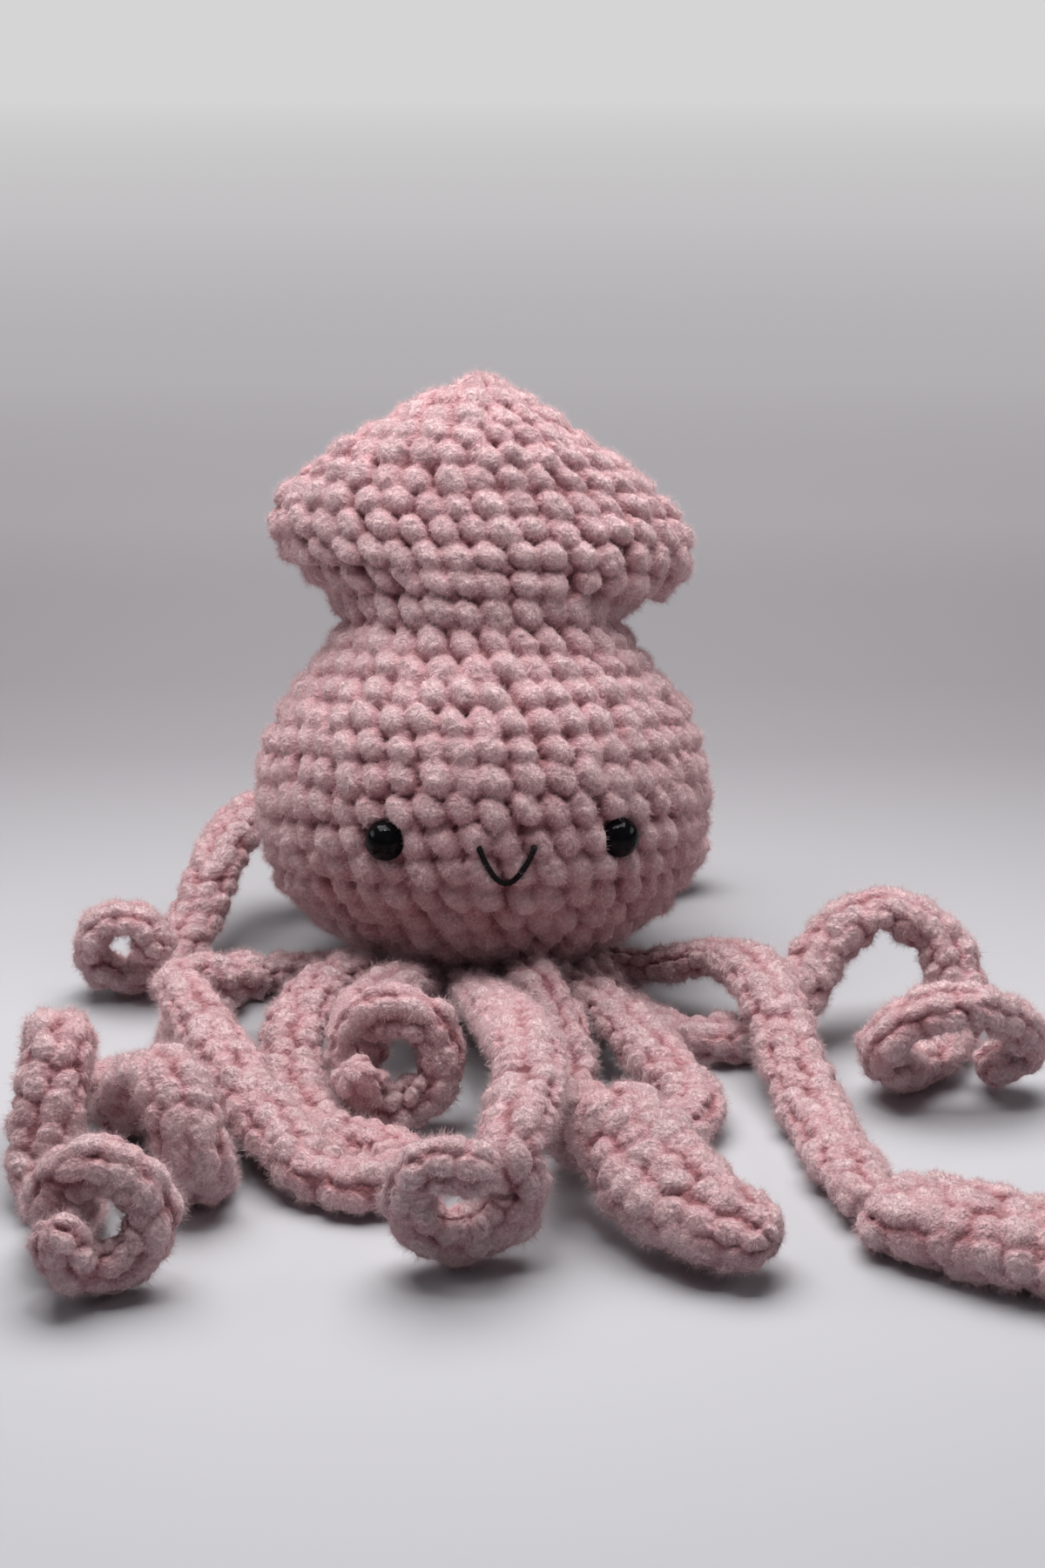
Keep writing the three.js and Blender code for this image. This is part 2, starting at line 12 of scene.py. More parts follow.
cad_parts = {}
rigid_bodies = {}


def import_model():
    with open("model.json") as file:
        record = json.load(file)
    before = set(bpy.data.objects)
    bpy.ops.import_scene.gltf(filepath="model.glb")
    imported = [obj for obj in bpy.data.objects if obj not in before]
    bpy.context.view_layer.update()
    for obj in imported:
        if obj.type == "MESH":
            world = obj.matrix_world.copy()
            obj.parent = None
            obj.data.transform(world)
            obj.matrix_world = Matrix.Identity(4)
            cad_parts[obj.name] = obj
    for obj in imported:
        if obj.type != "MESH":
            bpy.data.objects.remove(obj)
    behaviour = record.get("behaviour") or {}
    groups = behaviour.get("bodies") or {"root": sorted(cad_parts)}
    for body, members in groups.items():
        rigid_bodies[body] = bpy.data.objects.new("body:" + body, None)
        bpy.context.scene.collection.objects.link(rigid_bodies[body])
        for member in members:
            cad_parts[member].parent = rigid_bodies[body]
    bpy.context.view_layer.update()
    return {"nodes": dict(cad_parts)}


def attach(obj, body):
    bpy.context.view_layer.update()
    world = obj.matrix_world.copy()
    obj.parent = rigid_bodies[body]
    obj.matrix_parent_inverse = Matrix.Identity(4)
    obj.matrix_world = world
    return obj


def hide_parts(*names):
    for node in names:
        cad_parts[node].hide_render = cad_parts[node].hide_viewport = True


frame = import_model()

MM = 0.001

# Body, as in the solids: size, lean, and rows of length share, half width share, depth share
HEAD_WIDTH = 166.4
BODY_LENGTH = 235
BASE_SINK = 8
LEAN = math.radians(13.5)
FIN_ROLL = math.radians(4.4)
NECK = 0.617
FIN_START = 0.68
FIN_EDGE = 0.35
OUTLINE = [
    [0, 0, 1], [0.017, 0.264, 1], [0.068, 0.469, 1], [0.119, 0.644, 1], [0.162, 0.793, 1],
    [0.217, 0.921, 1], [0.285, 0.989, 1], [0.353, 1, 1], [0.426, 0.965, 0.985], [0.494, 0.868, 0.97],
    [0.549, 0.745, 0.95], [0.617, 0.629, 0.93], [0.643, 0.661, 0.87], [0.677, 0.817, 0.69],
    [0.712, 0.907, 0.6], [0.757, 0.941, 0.53], [0.815, 0.838, 0.51], [0.862, 0.69, 0.53],
    [0.904, 0.505, 0.6], [0.945, 0.325, 0.63], [0.983, 0.12, 0.8], [1, 0, 1],
]

# Face, as in the solids. The front is an angle round the body's axis
FRONT = 270
FACE_TURN = 6.6
EYE_SPREAD = 30.1
EYE_HEIGHT = 71.3
EYE_DIAMETER = 14
EYE_DOME = 7.4
EYE_SUNK = 2.4
EYE_RIM = 0.6
MOUTH_WIDTH = 18.6
MOUTH_DROP = 12
MOUTH_HEIGHT = 69.5
MOUTH_ROUNDNESS = 2
MOUTH_TAIL = 3.5
THREAD_DIAMETER = 1.8

# Fine shape of the face: the eye's rim as (share of the radius, rise), the dome's top as an angle up it, and
# the thread's stand above the skin, the length of one twist and the roundness of its two plies
RIM_PROFILE = [(0.5, 0), (0.9, 0), (0.975, 0.12), (1, 0.4)]
DOME_STEPS = 30
DOME_TOP = 88
EYE_SIDES = 72
MOUTH_STAND = 0.7
MOUTH_POINTS = 25
MOUTH_PER_SPAN = 12
THREAD_LAY = 3.4
THREAD_STEP = 0.2
THREAD_SIDES = 20
PLY_CORE = 0.9
PLY_BULGE = 0.24

# Limbs, as in the solids
STRIP_WIDTH = 19.4
STRIP_THICKNESS = 13
ROOT_WIDTH = 12.8
ROOT_GAP = 0.35
CLUB_WIDTH = 32
CLUB_THICKNESS = 20
CLUB_NECK_WIDTH_SHARE = 0.8
CLUB_NECK_THICKNESS_SHARE = 0.92
CLUB_SWELL_START = 0.12
CLUB_SWELL_SPAN = 0.76
HINGE_GAP = 0.7
ROOT_SWELL = 30
ARM_TAPER = {"reach": 130, "wide": 0.76, "thick": 0.9}
STALK_TAPER = {"reach": 26, "wide": 0.86, "thick": 0.93}
SECTION_SQUARENESS = 0.8
POINTS_PER_TURN = 8
CURL_STRIP = 16.8
FLOOR_GAP = 1.2
LYING = STRIP_THICKNESS / 2 + FLOOR_GAP

# Crochet: the size of one stitch, how far its crown stands above the gaps round it, and how much of that
# is outside the solid's face. Spreads and waves are how far stitches and rows stray from their place
BODY_STITCH = (11.2, 11.4)
BODY_STAGGER = 0.38
BODY_REACH = (0.53, 0.74)
BODY_SLANTS = [34]
BODY_CROWN = 7.6
BODY_OUTSIDE = 0.17
FIN_CROWN_SHARE = 0.5
FIN_CROWN_FADE = (0.72, 0.95)
FEWEST_STITCHES = 6
BODY_SPREAD = 0.12
BODY_WAVE = 0.14
BODY_WAVE_SIZE = 34
LIMB_STITCH = (10, 7.2)
LIMB_REACH = (0.62, 0.7)
LIMB_COLUMNS = 6
LIMB_SLANTS = [12, 32, -24]
LIMB_LIFTS = [0.25, -0.25]
CLUB_STITCH = (10.4, 8.2)
CLUB_COLUMNS = 8
LIMB_CROWN = 3.4
LIMB_OUTSIDE = 0.5
LIMB_SPREAD = 0.19
LIMB_WAVE = 0.2
LIMB_WAVE_SIZE = 16
LIMB_STAGGER = 0.12
LIMB_STAGGER_STEP = 0.7
CAP_CROWN = 0.8
CAP_FADE = (0.15, 0.8)
ROUNDNESS = 2.3
DROOP = 0.16
SLANT_SPREAD = 11
SWELL_SHARE = 0.7
MELT = 12
STRAND_SHARE = 0.5
STRAND_SPREAD = 0.3
STRAND_REACH = (0.34, 0.3)

# Unevenness of the pile: heights and widths in millimetres, and the share of it that the gaps keep
LUMP = 1
LUMP_SIZE = 7
BODY_CLUMP = 2.1
LIMB_CLUMP = 1.6
CLUMP_SIZE = 3.6
CREASE_DEPTH = 0.25
TUFT = 0.26
GAP_PILE = 0.4

# Pressed yarn: on the inner side of a limb's bends, on a limb near its root, and in round beds on the body,
# under each eye, along the mouth and at each limb's root. Farther behind its middle than BED_REACH radii, a
# bed holds nothing
BEND_PRESS = 2.6
BEND_RADIUS = 14
BEND_FADE = (0.1, 1)
ROOT_PRESS = 2
ROOT_CAP = (-2, 14)
ROOT_STRETCH = (25, 80)
EYE_BED = {"radius": 0.45 * EYE_DIAMETER, "soft": 1.8, "depth": EYE_SUNK + 0.6}
MOUTH_BED = {"radius": 0.5 * THREAD_DIAMETER, "soft": 1.2, "depth": 0.6}
ROOT_BED = {"radius": 9, "soft": 6, "depth": 0.8}
BED_REACH = 4

# Loose fibres of the pile: length and thickness in millimetres, number per square millimetre, the crowns
# between which they grow full, and the bare margin round the eyes and the mouth
FIBRE_LENGTH = 1.15
FIBRE_STRAY = 0.7
FIBRE_UNEVEN = 0.5
FIBRE_ROOT = 0.07
FIBRE_TIP = 0.02
FIBRE_STEPS = 2
FIBRES = 2.6
FIBRE_CROWNS = (0.5, 0.9)
FIBRE_LEAST = 0.15
FULLNESS_STEPS = 8
BARE_MARGIN = 1.4

# Mesh fineness, how far along a limb its heading and its twist are smoothed, the least height above the
# floor, and the rise of the body's last point
BODY_SIDES = 368
BODY_RINGS = 268
LIMB_STEP = 0.75
LIMB_SIDES = 76
CLUB_SIDES = 116
PER_SPAN = 40
PER_BODY_SIDE = 4
PER_LIMB_SIDE = 8
CAP_RINGS = 12
HEADING_REACH = 1.5
TWIST_REACH = 5
TWIST_STEPS = 5
FLOOR_CLEARANCE = 0.35
TIP_RISE = 0.3

# Seeds of the random draws and of the noise, which each seed shifts
NOISE_SHIFT = (17.3, 5.1, 9.7)
BODY_STITCH_SEED = 11
BODY_PILE_SEED = 1
BODY_WAVE_SEED = 3
LIMB_SEED = 20
CLUB_SEED = 40

# Stage, in metres: how far the paper reaches, how much farther than at the back its bright middle goes in
# front and at the sides, and the stretch of its painted shade and glow
PAPER_REACH = 300.0
PAPER_FRONT = 0.42
PAPER_SIDE = 0.3
PAPER_SPAN = (-1.0, 7.0)

# Lights: place, target and size in metres, power in watts, and the angle of the beam in degrees
WORLD_COLOUR = (0.93, 0.93, 1, 1)
WORLD_STRENGTH = 0.05
SIDE_LIGHT = {"target": (0, 0, 0.1), "size": (0.7, 0.3), "power": 0.24, "colour": (1, 0.99, 0.98),
              "beam": 60}
LIGHTS = {
    "top_box": {"place": (-0.03, 0.14, 0.85), "target": (0, -0.02, 0.05), "size": (0.95, 0.7),
                "power": 15, "colour": (1, 0.985, 0.97)},
    "eye_glint": {"place": (-0.04, -0.2, 0.8), "target": (0, -0.08, 0.08), "size": (0.12, 0.02),
                  "power": 0.8, "colour": (1, 1, 1)},
    "front_fill": {"place": (0.4, -1.5, 0.8), "target": (0, 0, 0.1), "size": (1.2, 1.0),
                   "power": 0.45, "colour": (0.97, 0.97, 1)},
    "side_fill_left": {"place": (-0.9, 0.1, 0.5), **SIDE_LIGHT},
    "side_fill_right": {"place": (0.9, 0.1, 0.5), **SIDE_LIGHT},
}

# Camera, with the photograph's view: height and focal length in pixels, place in metres, tilt in degrees
SENSOR_HEIGHT = 36
PHOTO_HEIGHT = 1800
FOCAL_LENGTH = 2667
CAMERA_PLACE = (0.01475, -0.80184, 0.35581)
CAMERA_TILT = 19

UP = np.array([0.0, 0.0, 1.0])
BODY_AXIS = np.array([0, math.sin(LEAN), math.cos(LEAN)])
BODY_SIDE = np.array([1.0, 0, 0])
BODY_BACK = np.cross(BODY_AXIS, BODY_SIDE)


# Curves and numbers

def smoothstep(value, low, high):
    share = np.clip((value - low) / (high - low), 0, 1)
    return share * share * (3 - 2 * share)


def unit(vectors):
    return vectors / np.linalg.norm(vectors, axis=-1, keepdims=True)


def blend(low, high, share):
    return low + (high - low) * share


def catmull(points, per_span):
    """A centripetal Catmull-Rom curve through the points, and the knot number of each place on it."""
    points = np.asarray(points, float)
    before = np.vstack([2 * points[0] - points[1], points, 2 * points[-1] - points[-2]])
    steps = np.maximum(np.linalg.norm(np.diff(before, axis=0), axis=1) ** 0.5, 1e-4)
    share = np.linspace(0, 1, per_span, endpoint=False)[:, None]
    places = []
    for span in range(len(points) - 1):
        p0, p1, p2, p3 = before[span:span + 4]
        d0, d1, d2 = steps[span:span + 3]
        leave = ((p1 - p0) / d0 - (p2 - p0) / (d0 + d1) + (p2 - p1) / d1) * d1
        arrive = ((p2 - p1) / d1 - (p3 - p1) / (d1 + d2) + (p3 - p2) / d2) * d1
        square = -3 * p1 + 3 * p2 - 2 * leave - arrive
        cube = 2 * p1 - 2 * p2 + leave + arrive
        places.append(p1 + leave * share + square * share ** 2 + cube * share ** 3)
    places.append(points[-1:])
    knots = np.arange(per_span * (len(points) - 1) + 1) / per_span
    return np.vstack(places), knots


def run_along(places):
    return np.concatenate([[0], np.cumsum(np.linalg.norm(np.diff(places, axis=0), axis=1))])


def read_at(where, run, values):
    return np.column_stack([np.interp(where, run, values[:, axis]) for axis in range(values.shape[1])])


# Meshes

def grid_normals(grid):
    """Outward normals of rings of points, of which each ring closes on itself."""
    around = np.roll(grid, -1, axis=1) - np.roll(grid, 1, axis=1)
    along = np.gradient(grid, axis=0)
    return unit(np.cross(around, along))


def make_piece(name, start, rings, end, material, attributes):
    """One closed mesh over rings of points between two end points, with values on its points."""
    count, sides, _ = rings.shape
    points = np.vstack([start[None], rings.reshape(-1, 3), end[None]]) * MM
    side = np.arange(sides)
    after = (side + 1) % sides
    low = 1 + np.arange(count - 1)[:, None] * sides
    quads = np.stack([low + side, low + after, low + sides + after, low + sides + side], axis=-1)
    top = 1 + (count - 1) * sides
    last = len(points) - 1
    first_fan = [[0, 1 + b, 1 + a] for a, b in zip(side, after)]
    last_fan = [[last, top + a, top + b] for a, b in zip(side, after)]
    mesh = bpy.data.meshes.new(name)
    mesh.from_pydata(points.tolist(), [], quads.reshape(-1, 4).tolist() + first_fan + last_fan)
    mesh.polygons.foreach_set("use_smooth", np.ones(len(mesh.polygons), bool))
    for label, values in attributes.items():
        full = np.concatenate([[values[0].mean()], values.ravel(), [values[-1].mean()]])
        mesh.attributes.new(label, "FLOAT", "POINT").data.foreach_set("value", full.astype(np.float32))
    mesh.update()
    piece = bpy.data.objects.new(name, mesh)
    bpy.context.scene.collection.objects.link(piece)
    mesh.materials.append(material)
    return piece


# Stitches

def stitch_relief(rows, around, counts, stitch, reach, seed, stagger, slants, lifts, spread):
    """Crowns of worked stitches at places given by a row number and a share round the ring.

    A stitch is (width, height) in millimetres, and its oval reaches that share of them from its middle.
    Slants, in degrees, and lifts, in rows, repeat over the columns. The spread is how far stitches stray
    from their place, in stitches. A stitch is fuller at its foot, and crowns melt into each other.
    Returns the height, 0 in the gaps and 1 on a full crown, and a tone from 0 to 1, one per stitch.
    """
    wide, tall = stitch
    random = np.random.default_rng(seed)
    table = random.uniform(-1, 1, (6, len(counts), int(max(counts))))
    highest = np.zeros(rows.shape)
    melted = np.zeros(rows.shape)
    tone = np.zeros(rows.shape)
    own_row = np.floor(rows).astype(int)
    for row_step in (-1, 0, 1):
        row = np.clip(own_row + row_step, 0, len(counts) - 1)
        inside = (own_row + row_step == row)
        count = counts[row]
        place = around * count - stagger[row]
        for column_step in (-0.5, 0.5):
            column = np.floor(place + column_step).astype(int)
            wrapped = column % count
            jitter = table[:, row, wrapped]
            turn = np.radians(np.take(slants, wrapped, mode="wrap") + SLANT_SPREAD * jitter[0])
            x = (place - column - 0.5 + spread * jitter[1]) * wide
            y = (rows - row - 0.5 - np.take(lifts, wrapped, mode="wrap") + spread * jitter[2]) * tall
            swell = 1 + SWELL_SHARE * spread * jitter[3]
            over = np.abs(x * np.cos(turn) + y * np.sin(turn)) / (wide * reach[0] * swell)
            upward = np.abs(y * np.cos(turn) - x * np.sin(turn)) / (tall * reach[1] * swell)
            left = np.clip(1 - over ** ROUNDNESS - upward ** ROUNDNESS, 0, 1)
            crown = left ** 0.5 * (1 + spread * jitter[4] - DROOP * y / tall) * inside
            tone = np.where(crown > highest, jitter[5], tone)
            highest = np.maximum(highest, crown)
            beside = (np.abs(x) - wide / 2) / (STRAND_REACH[0] * wide)
            below = (y + tall / 2) / (STRAND_REACH[1] * tall)
            strand = np.clip(1 - beside ** 2 - below ** 2, 0, 1)
            under = STRAND_SHARE * strand ** 0.5 * (1 + STRAND_SPREAD * jitter[4]) * inside
            melted = melted + crown ** MELT + under ** MELT
    return melted ** (1 / MELT), 0.5 + 0.5 * tone


def pile(points, size, seed):
    """Soft lumps of the pile, from -1 to 1, that are about as wide as the size."""
    shift = Vector([seed * share for share in NOISE_SHIFT])
    flat = (points / size).reshape(-1, 3)
    values = np.array([noise.noise(Vector(place) + shift) for place in flat.tolist()])
    return values.reshape(points.shape[:-1])


def pile_relief(points, crown, clump, seed):
    """Unevenness of the pile in millimetres: broad lumps, creased clumps and single tufts."""
    random = np.random.default_rng(seed)
    tufts = TUFT * random.uniform(-1, 1, crown.shape)
    lumps = LUMP * pile(points, LUMP_SIZE, seed)
    clumps = clump * (np.abs(pile(points, CLUMP_SIZE, seed + 1)) - CREASE_DEPTH)
    return (lumps + clumps + tufts) * blend(GAP_PILE, 1, crown)


# Materials

def set_inputs(node, values):
    for key, value in values.items():
        node.inputs[key].default_value = value


def add_node(tree, kind, settings=None, values=None):
    made = tree.nodes.new(kind)
    for key, value in (settings or {}).items():
        setattr(made, key, value)
    set_inputs(made, values or {})
    return made


def ramp(tree, factor, stops):
    made = add_node(tree, "ShaderNodeValToRGB")
    elements = made.color_ramp.elements
    while len(elements) < len(stops):
        elements.new(0.5)
    for element, (position, colour) in zip(elements, stops):
        element.position = position
        element.color = (*colour, 1)
    tree.links.new(factor, made.inputs["Fac"])
    return made.outputs["Color"]


def multiply(tree, one, two):
    made = add_node(tree, "ShaderNodeMix", {"data_type": "RGBA", "blend_type": "MULTIPLY"})
    made.inputs["Factor"].default_value = 1
    tree.links.new(one, made.inputs[6])
    tree.links.new(two, made.inputs[7])
    return made.outputs[2]


def grey(value):
    return (value, value, value)


def new_material(name):
    material = bpy.data.materials.new(name)
    material.use_nodes = True
    tree = material.node_tree
    return material, tree, tree.nodes["Principled BSDF"]


def noise_node(tree, scale, detail, roughness):
    where = add_node(tree, "ShaderNodeTexCoord")
    values = {"Scale": scale, "Detail": detail, "Roughness": roughness}
    made = add_node(tree, "ShaderNodeTexNoise", None, values)
    tree.links.new(where.outputs["Object"], made.inputs["Vector"])
    return made.outputs["Fac"]


def calculate(tree, operation, one, two=0, three=0):
    """A number worked out from one to three others, each of which is a socket or a plain value."""
    made = add_node(tree, "ShaderNodeMath", {"operation": operation})
    for slot, value in zip(made.inputs, (one, two, three)):
        if isinstance(value, (int, float)):
            slot.default_value = value
        else:
            tree.links.new(value, slot)
    return made.outputs[0]


def bump(tree, height, strength, distance, under=None):
    """The normal of a bumped surface, over another bumped normal where one is given."""
    made = add_node(tree, "ShaderNodeBump", None, {"Strength": strength, "Distance": distance})
    tree.links.new(height, made.inputs["Height"])
    if under:
        tree.links.new(under, made.inputs["Normal"])
    return made.outputs["Normal"]


def creased(tree, value):
    """Rounded clumps with a crease wherever the value passes its middle."""
    return calculate(tree, "ABSOLUTE", calculate(tree, "MULTIPLY_ADD", value, 2, -1))


def chenille_material():
    material, tree, shader = new_material("chenille_rose")
    height = add_node(tree, "ShaderNodeAttribute", {"attribute_name": "crown"}).outputs["Fac"]
    tone = add_node(tree, "ShaderNodeAttribute", {"attribute_name": "tone"}).outputs["Fac"]
    fibres = noise_node(tree, 1050, 4, 0.7)
    clumps = creased(tree, noise_node(tree, 330, 2, 0.5))
    # Yarn colour by crown height, with painted shade: deep dark colour in the gaps between stitches, and a
    # painted pale highlight on full crowns.
    depth = ramp(tree, height, [(0.42, (0.33, 0.14, 0.155)), (0.66, (0.53, 0.305, 0.33)),
                                (0.85, (0.64, 0.43, 0.45)), (1, (0.71, 0.535, 0.55))])
    # Fine grain of the yarn in the colour; its brightest specks are painted fibre glints.
    grain_and_glints = ramp(tree, fibres, [(0.3, grey(0.76)), (0.5, grey(0.97)),
                                  (0.64, grey(1.14)), (0.74, grey(1.5))])
    # Painted shade: the colour is darker in the creases between clumps, with a little painted highlight on
    # their tops.
    lumps = ramp(tree, clumps, [(0, (0.9, 0.85, 0.86)), (0.16, grey(1)), (0.5, grey(1.08))])
    stitch = ramp(tree, tone, [(0, grey(0.95)), (1, grey(1.05))])
    colour = multiply(tree, multiply(tree, multiply(tree, depth, grain_and_glints), lumps), stitch)
    tree.links.new(colour, shader.inputs["Base Color"])
    soft = bump(tree, clumps, 0.5, 0.0025)
    tree.links.new(bump(tree, fibres, 0.6, 0.0007, soft), shader.inputs["Normal"])
    set_inputs(shader, {"Roughness": 0.95, "Specular IOR Level": 0.1, "Sheen Weight": 0.8,
                        "Sheen Roughness": 0.4, "Sheen Tint": (1, 0.86, 0.88, 1)})
    return material


def fibre_material():
    """Loose fibres with painted shade towards the root and a painted pale highlight at the tip, each with
    its own shade of colour.
    """
    material, tree, shader = new_material("chenille_fibres")
    hair = add_node(tree, "ShaderNodeHairInfo")
    # Painted light along each fibre: darker towards the root, paler towards the tip.
    along = ramp(tree, hair.outputs["Intercept"], [(0, (0.55, 0.33, 0.355)), (1, (0.86, 0.70, 0.715))])
    shade = ramp(tree, hair.outputs["Random"], [(0, grey(0.8)), (0.7, grey(1.03)), (1, grey(1.2))])
    tree.links.new(multiply(tree, along, shade), shader.inputs["Base Color"])
    set_inputs(shader, {"Roughness": 0.8, "Specular IOR Level": 0.2})
    return material


def plastic_material(name, colour, roughness, gloss):
    material, tree, shader = new_material(name)
    smudge = noise_node(tree, 180, 3, 0.6)
    tint = ramp(tree, smudge, [(0.3, [0.8 * channel for channel in colour]), (0.7, colour)])
    tree.links.new(tint, shader.inputs["Base Color"])
    polish = ramp(tree, smudge, [(0.35, grey(roughness)), (0.75, grey(2 * roughness))])
    tree.links.new(polish, shader.inputs["Roughness"])
    set_inputs(shader, {"Specular IOR Level": gloss})
    return material


def thread_material():
    material, tree, shader = new_material("black_thread")
    lint = noise_node(tree, 1800, 3, 0.7)
    tint = ramp(tree, lint, [(0.3, (0.004, 0.004, 0.005)), (0.75, (0.02, 0.018, 0.02))])
    tree.links.new(tint, shader.inputs["Base Color"])
    tree.links.new(bump(tree, lint, 0.6, 0.0003), shader.inputs["Normal"])
    set_inputs(shader, {"Roughness": 0.8, "Specular IOR Level": 0.2})
    return material


def paper_material():
    """Pale paper with painted light: bright under the object, painted shade where its middle ends, and a
    painted glow far off, where the paper emits light though it is no lamp.
    """
    material, tree, shader = new_material("backdrop_paper")
    where = add_node(tree, "ShaderNodeTexCoord")
    split = add_node(tree, "ShaderNodeSeparateXYZ")
    tree.links.new(where.outputs["Object"], split.inputs["Vector"])
    forward = calculate(tree, "MULTIPLY_ADD", split.outputs["Y"], -1, -PAPER_FRONT)
    aside = calculate(tree, "SUBTRACT", calculate(tree, "ABSOLUTE", split.outputs["X"]), PAPER_SIDE)
    farther = calculate(tree, "MAXIMUM", forward, aside)
    start, end = PAPER_SPAN
    share = add_node(tree, "ShaderNodeMapRange", None, {"From Min": start, "From Max": end})
    tree.links.new(calculate(tree, "MAXIMUM", split.outputs["Y"], farther), share.inputs["Value"])
    # Painted shade: the paper's colour darkens beyond its bright middle.
    shade = ramp(tree, share.outputs["Result"], [
        (0.12, (0.43, 0.43, 0.456)), (0.16, (0.238, 0.229, 0.245)), (0.2, (0.195, 0.186, 0.2)),
    ])
    # Painted glow: the far paper emits light though it is no lamp.
    glow = ramp(tree, share.outputs["Result"], [
        (0.14, grey(0)), (0.175, (0.06, 0.057, 0.06)), (0.225, (0.27, 0.258, 0.27)),
        (0.3, (0.41, 0.394, 0.408)), (0.5, (0.53, 0.518, 0.527)), (1, grey(0.65)),
    ])
    tree.links.new(shade, shader.inputs["Base Color"])
    tree.links.new(glow, shader.inputs["Emission Color"])
    set_inputs(shader, {"Emission Strength": 1, "Roughness": 0.6, "Specular IOR Level": 0.2})
    return material


# Body form

def body_place(height, side, back):
    """Places at a height up the body's axis and a reach to its side and back, with the fin rolled."""
    share = smoothstep(height / BODY_LENGTH, NECK, FIN_START)
    rolled = height - BASE_SINK - side * math.tan(FIN_ROLL) * share
    return rolled[..., None] * BODY_AXIS + side[..., None] * BODY_SIDE + back[..., None] * BODY_BACK


def outline_at(height):
    """Half the body's width at a height up its axis."""
    rows = np.array(OUTLINE)
    return np.interp(height / BODY_LENGTH, rows[:, 0], rows[:, 1]) * HEAD_WIDTH / 2


def head_surface(azimuth, height):
    """Place and outward direction on the head at an angle round the axis."""
    angle = math.radians(azimuth)
    out = math.cos(angle) * BODY_SIDE + math.sin(angle) * BODY_BACK
    step = BODY_LENGTH / 100
    slope = (outline_at(height + step) - outline_at(height - step)) / (2 * step)
    place = BODY_AXIS * (height - BASE_SINK) + out * outline_at(height)
    return place, unit(out - slope * BODY_AXIS)


def body_rings():
    """Rings of the body that follow the worked rows, the row number of each ring, and the rows' count.

    Every meridian has the same rows from the bottom to the neck and from there to the tip, so the rows keep
    their height in front and drop towards the fin's corners.
    """
    rows = np.array(OUTLINE)
    knots = np.column_stack([rows[:, 0], rows[:, 1], rows[:, 1] * rows[:, 2]])
    curve, _ = catmull(knots, PER_SPAN)
    height, wide, deep = (curve * [BODY_LENGTH, HEAD_WIDTH / 2, HEAD_WIDTH / 2]).T
    edge = 1 + FIN_EDGE * smoothstep(height / BODY_LENGTH, NECK, FIN_START)
    turn = np.linspace(0, 2 * np.pi, PER_BODY_SIDE * BODY_SIDES + 1)
    shares = np.linspace(0, 1, BODY_SIDES, endpoint=False)
    levels = []
    for index in range(len(height)):
        side = wide[index] * np.cos(turn)
        back = deep[index] * np.sign(np.sin(turn)) * np.abs(np.sin(turn)) ** edge[index]
        length = run_along(np.column_stack([side, back]))
        even = read_at(shares * length[-1], length, np.column_stack([side, back]))
        levels.append(body_place(np.full(BODY_SIDES, height[index]), even[:, 0], even[:, 1]))
    levels = np.array(levels)
    steps = np.linalg.norm(np.diff(levels, axis=0), axis=2)
    run = np.vstack([np.zeros(BODY_SIDES), np.cumsum(steps, axis=0)])
    neck = int(np.argmin(np.abs(height - NECK * BODY_LENGTH)))
    head_rows = int(round(run[neck].mean() / BODY_STITCH[1]))
    fin_rows = int(round((run[-1] - run[neck]).mean() / BODY_STITCH[1]))
    below = head_rows * run / run[neck]
    above = head_rows + fin_rows * (run - run[neck]) / (run[-1] - run[neck])
    row = np.where(np.arange(len(height))[:, None] <= neck, below, above)
    where = np.linspace(0, head_rows + fin_rows, BODY_RINGS + 1)[1:-1]
    columns = [read_at(where, row[:, column], levels[:, column]) for column in range(BODY_SIDES)]
    return np.stack(columns, axis=1), shares, where, head_rows + fin_rows


def press(points, amount, centre, direction, radius, soft, depth):
    """Holds the surface down to a depth in a round place, with a soft edge."""
    off = points - centre
    beside = np.linalg.norm(off - (off @ direction)[..., None] * direction, axis=-1)
    facing = (off @ direction) > -BED_REACH * radius
    hold = (1 - smoothstep(beside, radius, radius + soft)) * facing
    return amount * (1 - hold) + hold * np.minimum(amount, -depth)


def mouth_path():
    """Places along the smile, with the outward direction at each."""
    centre = FRONT + FACE_TURN
    places = []
    for across in np.linspace(-1, 1, MOUTH_POINTS):
        drop = MOUTH_DROP * (1 - abs(across) ** MOUTH_ROUNDNESS)
        turn = centre + math.degrees(across * MOUTH_WIDTH / HEAD_WIDTH)
        places.append(head_surface(turn, MOUTH_HEIGHT - drop))
    return places


